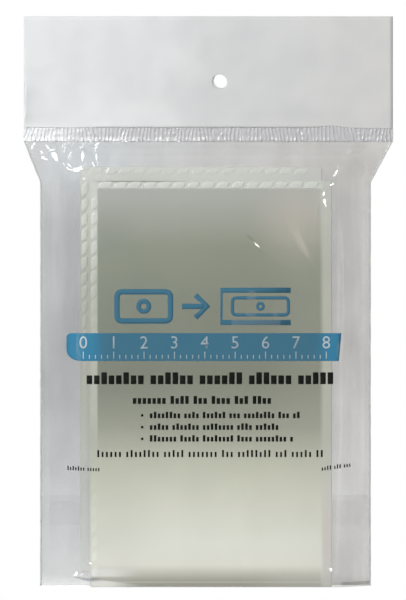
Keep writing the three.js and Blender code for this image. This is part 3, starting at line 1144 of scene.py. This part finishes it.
def make_beaded_sleeve(node, plain_node, body, outward, bead_heights, materials):
    """A sleeve with rounded beads on one face, over the plain sleeve's sheets."""
    low, high = box_mm(node)
    plain_low, plain_high = box_mm(plain_node)
    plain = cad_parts[plain_node].data
    shift = np.array([low[0] - plain_low[0], high[1] - plain_high[1], low[2] - plain_low[2]])
    sheets = np.array([v.co for v in plain.vertices]) / MM + shift
    sheet_faces = [tuple(p.vertices) for p in plain.polygons]
    thickness = plain_high[1] - plain_low[1]
    face_y = high[1] - thickness if outward < 0 else high[1]
    beads, bead_faces = sleeve_beads(low, high, face_y, outward, *bead_heights)
    points, faces = joined([(sheets, sheet_faces), (beads, bead_faces)])
    slots = [0] * len(sheet_faces) + [1] * len(bead_faces)
    piece = add_mesh(node + "_beaded", points, faces, materials, [slot == 1 for slot in slots], slots)
    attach(piece, body)
    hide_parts(node)


# Print: a plain stripe with ruler marks and numbers, a note that goes into a sleeve, and lines of blocks


def patch(left, low, right, high, cell=1.2):
    """Points and quads of a flat patch in X and Z."""
    columns = np.linspace(left, right, max(2, int((right - left) / cell) + 2))
    rows = np.linspace(low, high, max(2, int((high - low) / cell) + 2))
    x, z = np.meshgrid(columns, rows)
    return np.stack([x, z], axis=-1).reshape(-1, 2), grid_faces(len(rows), len(columns))


def stroke(path, width, closed=True):
    """Points and quads of a line of one width along a path in X and Z, on its left and right."""
    path = np.asarray(path, float)
    ahead, behind = np.roll(path, -1, axis=0), np.roll(path, 1, axis=0)
    if not closed:
        ahead[-1], behind[0] = path[-1], path[0]
    along = ahead - behind
    along /= np.linalg.norm(along, axis=1)[:, None]
    beside = np.stack([-along[:, 1], along[:, 0]], axis=-1) * width / 2
    count = len(path)
    pairs = [(k, (k + 1) % count) for k in range(count if closed else count - 1)]
    faces = [(k, count + k, count + after, after) for k, after in pairs]
    return np.concatenate([path + beside, path - beside]), faces


def rounded_box(centre_x, centre_z, width, height, radius):
    """The outline of a box with round corners, anticlockwise."""
    path = []
    for corner_x, corner_z, start in ((1, 1, 0), (-1, 1, 90), (-1, -1, 180), (1, -1, 270)):
        middle_x = centre_x + corner_x * (width / 2 - radius)
        middle_z = centre_z + corner_z * (height / 2 - radius)
        for turn in np.linspace(0.0, 90.0, 6):
            angle = math.radians(start + turn)
            path.append((middle_x + radius * math.cos(angle), middle_z + radius * math.sin(angle)))
    return path


def ring(centre_x, centre_z, radius):
    return [(centre_x + radius * math.cos(t), centre_z + radius * math.sin(t)) for t in full_turn(32)]


ink_thickness = 0.012


def print_piece(name, shapes, material, lift=0.02):
    """Flat shapes laid on the outside of the front film."""
    flat, faces = joined(shapes)
    x, z = flat.T
    slope_allowance = 1.04
    y = front_film_y(x, z) - slope_allowance * bag_film - lift
    piece = add_mesh(name, np.stack([x, y, z], axis=-1), faces, [material])
    thicken(piece, ink_thickness, 1)
    let_light_through(piece)
    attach(piece, "bag")


stripe_low, stripe_high = -92.3, -83.1
stripe_left, stripe_right = -50.5, 40.1


def round_off(share):
    """How far a round corner of size 1 draws in, from 0 where it starts to 1 at its end."""
    return 1.0 - np.sqrt(1.0 - np.clip(share, 0.0, 1.0) ** 2)


def make_stripe():
    """A stripe with round corners at its left, the lower one larger, and a slanted right end."""
    flat, faces = patch(0.0, 0.0, 1.0, 1.0, 1.0 / 60)
    up = flat[:, 1]
    left = stripe_left + 5.0 * round_off((0.40 - up) / 0.40) + 1.6 * round_off((up - 0.85) / 0.15)
    right = stripe_right - 0.9 * (1.0 - up)
    across = left + (right - left) * flat[:, 0]
    return np.stack([across, stripe_low + (stripe_high - stripe_low) * up], axis=-1), faces


def number_shape(text, centre_x, centre_z, height):
    """Points and faces of a plain number."""
    curve = bpy.data.curves.new("number", "FONT")
    curve.body = text
    curve.size = height * 1.4
    curve.align_x = "CENTER"
    curve.align_y = "CENTER"
    curve.resolution_u = 3
    holder = add_object("number", curve)
    mesh = shown_mesh(holder)
    points = np.array([(v.co.x + centre_x, v.co.y + centre_z) for v in mesh.vertices])
    faces = [tuple(p.vertices) for p in mesh.polygons]
    bpy.data.objects.remove(holder)
    bpy.data.curves.remove(curve)
    bpy.data.meshes.remove(mesh)
    return points, faces


def line_of_blocks(left, right, base, height, seed, fill=0.66, rise=0.0):
    """A line of small upright blocks in groups, of the size that letters in words would have."""
    draw = np.random.default_rng(seed)
    pitch = height * 0.62
    group_gap = pitch * 0.7
    shapes = []
    place = left
    left_in_group = draw.integers(4, 9)
    while place + group_gap < right:
        tall = height if draw.random() < 0.3 else height * 0.74
        low = base + rise * (place - left)
        shapes.append(patch(place, low, place + pitch * fill, low + tall, 1.6))
        place += pitch
        left_in_group -= 1
        if left_in_group == 0:
            place += group_gap
            left_in_group = draw.integers(3, 9)
    return shapes


def make_print(blue, dark, white):
    print_piece("blue_stripe", [make_stripe()], blue)
    marks = []
    half_width, foot = 0.16, stripe_low + 0.7
    for count in range(41):
        x = stripe_left + 5.6 + 2.0 * count
        numbered = count % 5 == 0
        tall = 2.4 if numbered else 1.3
        marks.append(patch(x - half_width, foot, x + half_width, foot + tall, 1.0))
        if numbered:
            marks.append(number_shape(str(count // 5), x, stripe_low + 5.9, 4.2))
    print_piece("ruler_marks", marks, white, 0.08)
    middle = -74.3
    note_x, sleeve_x, sleeve_left, sleeve_right = -25.0, 13.4, 0.6, 23.4
    low, high = middle - 5.3, middle + 5.3
    sleeve_edge = [(sleeve_right, high), (sleeve_left, high), (sleeve_left, low), (sleeve_right, low)]
    print_piece("note_and_sleeve_sign", [
        stroke(rounded_box(note_x, middle, 17.6, 9.6, 1.6), 1.8),
        stroke(ring(note_x, middle, 1.7), 1.5),
        patch(-12.4, middle - 0.9, -5.2, middle + 0.9),
        stroke([(-8.0, middle + 3.7), (-4.0, middle), (-8.0, middle - 3.7)], 1.8, False),
        stroke(sleeve_edge, 1.8, False),
        stroke(rounded_box(sleeve_x, middle, 18.4, 5.6, 1.2), 1.1),
        stroke(ring(sleeve_x, middle, 1.0), 0.9),
    ], blue)
    blocks = line_of_blocks(-43.8, 38.6, -99.9, 3.9, 7, 0.76)
    blocks += line_of_blocks(-28.6, 18.4, -106.4, 2.6, 8, 0.72)
    blocks += line_of_blocks(-40.3, 34.4, -123.9, 2.3, 9, 0.45)
    blocks += line_of_blocks(-50.2, -38.6, -128.2, 1.4, 10, 0.5, -0.04)
    blocks += line_of_blocks(33.6, 43.4, -128.4, 1.4, 11, 0.5, 0.14)
    for line, right in enumerate((26.6, 21.4, 24.2)):
        base = -111.1 - 3.85 * line
        blocks += line_of_blocks(-23.0, right, base, 2.1, 20 + line)
        blocks.append(patch(-25.9, base + 0.5, -25.1, base + 1.3))
    print_piece("dark_blocks", blocks, dark)


make_camera()
make_world(level=0.305)
make_lamp("key_lamp", key_place, 190, 190, watts=1.87)
make_lamp("top_soft_lamp", (-60, -620, 560), 600, 300, watts=0.88, mirrored=False)
make_lamp("right_soft_lamp", (520, -760, 60), 300, 600, watts=0.42)
make_lamp("back_soft_lamp", (-300, 900, 300), 600, 600, watts=6.5)
make_floor(height=-232.0, radius=330.0)
bpy.context.scene.view_settings.view_transform = "Standard"

thin = [(-167.0, 0.06), (-20.0, 0.06)]
film = clear_film("clear bag film", thin, thin, front_body, marks=0.45)
bottom_film = clear_film("clear bottom film", thin, thin, front_body)
back_film = clear_film("clear back film", [
    (-166.0, 0.05), (-163.0, 0.18), (-158.0, 0.20), (-150.0, 0.25), (-138.0, 0.29), (-126.0, 0.35),
    (-106.0, 0.44), (-95.0, 0.48), (-79.0, 0.45), (-69.0, 0.42), (-47.0, 0.41), (-34.0, 0.30),
    (-21.0, 0.25),
], [
    (-166.0, 0.38), (-163.0, 0.29), (-158.0, 0.28), (-150.0, 0.26), (-122.0, 0.28), (-110.0, 0.33),
    (-85.0, 0.38), (-60.0, 0.38), (-42.0, 0.36), (-27.0, 0.37), (-21.0, 0.31),
], back_body)
faint = [(-167.0, 0.03), (-20.0, 0.03)]
flap_film = clear_film("clear flap film", faint, faint, front_body)
weld = weld_bead_film()
stacked = sleeve_film()
beaded = [stacked, bead_film()]
make_header(white_film())
make_seal(fused_film())
make_front_film(film)
make_back_film(back_film)
make_weld("left_weld_bead", "left_side_weld", left_top, left_straight, 1.0, weld)
make_weld("right_weld_bead", "right_side_weld", right_top, right_straight, -1.0, weld)
make_bottom_film(bottom_film)
make_flap(flap_film)
make_adhesive(milky_adhesive())
make_beaded_sleeve("sleeve_01", "sleeve_02", "front_bundle", -1.0, (0.20, 0.20), beaded)
make_beaded_sleeve("sleeve_26", "sleeve_27", "rear_bundle", -1.0, (0.18, 0.08), beaded)
make_beaded_sleeve("sleeve_50", "sleeve_27", "rear_bundle", 1.0, (0.22, 0.22), beaded)
for name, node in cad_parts.items():
    if name.startswith("sleeve_"):
        node.data.materials.clear()
        node.data.materials.append(stacked)
make_print(
    ink("blue ink", (0.042, 0.250, 0.42), (0.058, 0.190, 0.285), 0.85),
    ink("dark ink", (0.010, 0.011, 0.009), (0.006, 0.007, 0.005), 0.93),
    ink("white ink", (0.62, 0.70, 0.74), (0.42, 0.50, 0.54), 0.8),
)
